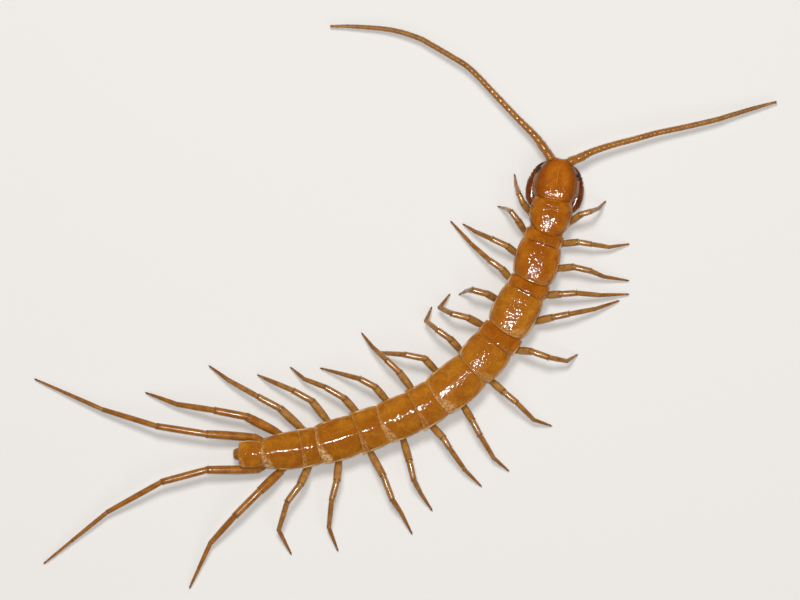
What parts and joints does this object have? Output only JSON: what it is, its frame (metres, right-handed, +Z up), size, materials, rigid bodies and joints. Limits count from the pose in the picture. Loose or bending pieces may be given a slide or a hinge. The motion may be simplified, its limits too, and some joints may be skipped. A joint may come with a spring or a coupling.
{
  "type": "stone centipede, life-size still model",
  "caption": "Long flat many-legged stone centipede standing on the floor, trunk bent in a wide curve, antennae spread forward and the long last legs trailing behind.",
  "frame": {"origin": "bottom centre of the bounding box, on the floor that the feet stand on", "axes": "+X to the animal's right at its head and along the longest extent, +Y the way its head points, +Z up from the floor"},
  "size_m": [0.067, 0.051, 0.0033],
  "materials": {
    "tergite_cuticle": "glossy amber-ochre cuticle of the back and belly plates, slightly translucent, paler at its rims",
    "membrane": "soft pale tan skin between the plates and at the leg joints",
    "head_cuticle": "glossy orange-brown cuticle of the head shield",
    "ocelli": "near-black glossy groups of simple eyes",
    "forcipule_cuticle": "glossy red-brown cuticle of the fangs and their plate",
    "antenna_cuticle": "ringed ochre-brown cuticle of the antennae",
    "leg_cuticle": "translucent tan cuticle of the walking legs, browner towards the feet",
    "rear_leg_cuticle": "glossy orange-brown cuticle of the last two pairs of legs",
    "claw": "dark brown horn of claws, spurs and fang tips"
  },
  "bodies": {
    "root": {"trunk_01": "tergite_cuticle", "trunk_02": "tergite_cuticle", "trunk_03": "tergite_cuticle", "trunk_04": "tergite_cuticle", "trunk_05": "tergite_cuticle", "trunk_06": "tergite_cuticle", "trunk_07": "tergite_cuticle", "trunk_08": "tergite_cuticle", "trunk_09": "tergite_cuticle", "trunk_10": "tergite_cuticle", "trunk_11": "tergite_cuticle", "trunk_12": "tergite_cuticle", "trunk_13": "tergite_cuticle", "trunk_14": "tergite_cuticle", "trunk_15": "tergite_cuticle", "telson": "tergite_cuticle", "head": "head_cuticle", "ocelli_left": "ocelli", "ocelli_right": "ocelli", "forcipule_left": "forcipule_cuticle", "forcipule_right": "forcipule_cuticle", "forcipular_coxosternite": "forcipule_cuticle", "antenna_left": "antenna_cuticle", "antenna_right": "antenna_cuticle", "leg_left_01": "leg_cuticle", "leg_left_02": "leg_cuticle", "leg_left_03": "leg_cuticle", "leg_left_04": "leg_cuticle", "leg_left_05": "leg_cuticle", "leg_left_06": "leg_cuticle", "leg_left_07": "leg_cuticle", "leg_left_08": "leg_cuticle", "leg_left_09": "leg_cuticle", "leg_left_10": "leg_cuticle", "leg_left_11": "leg_cuticle", "leg_left_12": "leg_cuticle", "leg_left_13": "leg_cuticle", "leg_right_01": "leg_cuticle", "leg_right_02": "leg_cuticle", "leg_right_03": "leg_cuticle", "leg_right_04": "leg_cuticle", "leg_right_05": "leg_cuticle", "leg_right_06": "leg_cuticle", "leg_right_07": "leg_cuticle", "leg_right_08": "leg_cuticle", "leg_right_09": "leg_cuticle", "leg_right_10": "leg_cuticle", "leg_right_11": "leg_cuticle", "leg_right_12": "leg_cuticle", "leg_right_13": "leg_cuticle", "leg_left_14": "rear_leg_cuticle", "leg_left_15": "rear_leg_cuticle", "leg_right_14": "rear_leg_cuticle", "leg_right_15": "rear_leg_cuticle"}
  },
  "joints": []
}
